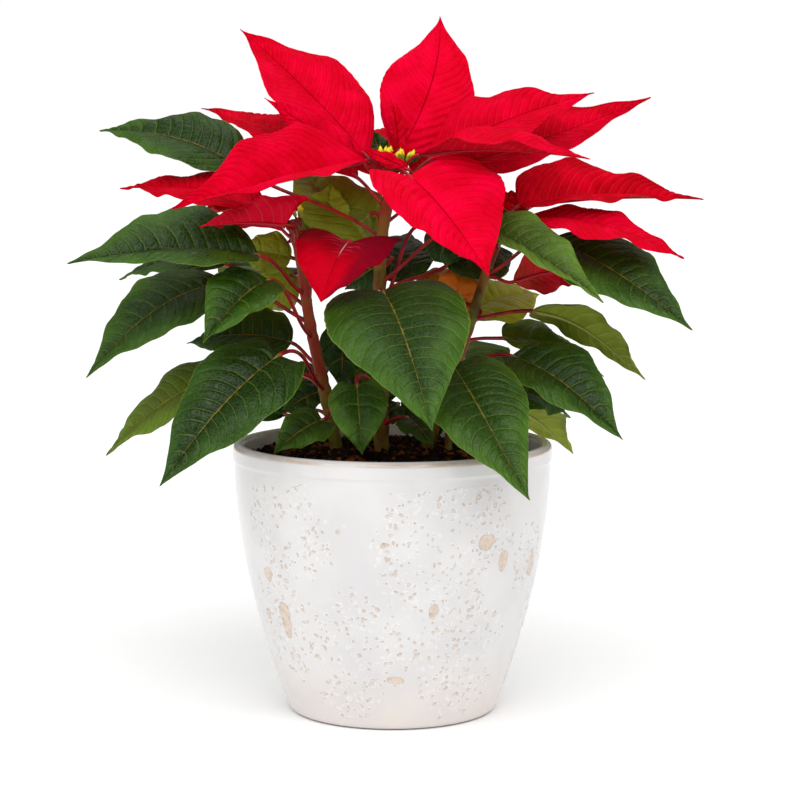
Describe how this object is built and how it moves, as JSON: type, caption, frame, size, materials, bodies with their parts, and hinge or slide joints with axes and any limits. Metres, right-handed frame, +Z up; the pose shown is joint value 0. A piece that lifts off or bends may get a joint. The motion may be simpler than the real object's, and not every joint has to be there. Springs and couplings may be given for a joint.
{
  "type": "poinsettia in a pot",
  "caption": "Bushy flowering house plant with pointed red bracts round small yellow-green flower heads, over dark green leaves, in a round white glazed pot.",
  "frame": {"origin": "centre of the pot's flat base, on the surface that the pot stands on", "axes": "+Z up along the pot's axis, the side of the plant that the picture shows faces -Y"},
  "size_m": [0.343, 0.25, 0.386],
  "materials": {
    "glaze": "gloss",
    "potting_mix": "matte",
    "stem": "satin",
    "flower_head": "satin",
    "red_bract": "satin",
    "green_leaf": "satin"
  },
  "bodies": {
    "root": {"pot": "glaze", "soil": "potting_mix", "stem_centre": "stem", "stem_left": "stem", "stem_right": "stem", "cyathia_top": "flower_head", "cyathia_left": "flower_head", "cyathia_right": "flower_head", "bract_top_1": "red_bract", "bract_top_2": "red_bract", "bract_top_3": "red_bract", "bract_top_4": "red_bract", "bract_top_5": "red_bract", "bract_top_6": "red_bract", "bract_top_7": "red_bract", "bract_top_8": "red_bract", "bract_top_9": "red_bract", "bract_top_10": "red_bract", "bract_top_11": "red_bract", "bract_left_1": "red_bract", "bract_left_2": "red_bract", "bract_left_3": "red_bract", "bract_left_4": "red_bract", "bract_left_5": "red_bract", "bract_right_1": "red_bract", "bract_right_2": "red_bract", "bract_right_3": "red_bract", "bract_right_4": "red_bract", "bract_right_5": "red_bract", "leaf_left_1": "green_leaf", "leaf_left_2": "green_leaf", "leaf_left_3": "green_leaf", "leaf_left_4": "green_leaf", "leaf_left_5": "green_leaf", "leaf_left_6": "green_leaf", "leaf_left_7": "green_leaf", "leaf_left_8": "green_leaf", "leaf_left_9": "green_leaf", "leaf_left_10": "green_leaf", "leaf_left_11": "green_leaf", "leaf_left_12": "green_leaf", "leaf_left_13": "green_leaf", "leaf_centre_1": "green_leaf", "leaf_centre_2": "green_leaf", "leaf_centre_3": "green_leaf", "leaf_centre_4": "green_leaf", "leaf_centre_5": "green_leaf", "leaf_centre_6": "green_leaf", "leaf_centre_7": "green_leaf", "leaf_centre_8": "green_leaf", "leaf_right_1": "green_leaf", "leaf_right_2": "green_leaf", "leaf_right_3": "green_leaf", "leaf_right_4": "green_leaf", "leaf_right_5": "green_leaf", "leaf_right_6": "green_leaf", "leaf_right_7": "green_leaf", "leaf_right_8": "green_leaf", "leaf_right_9": "green_leaf", "leaf_right_10": "green_leaf"}
  },
  "joints": []
}
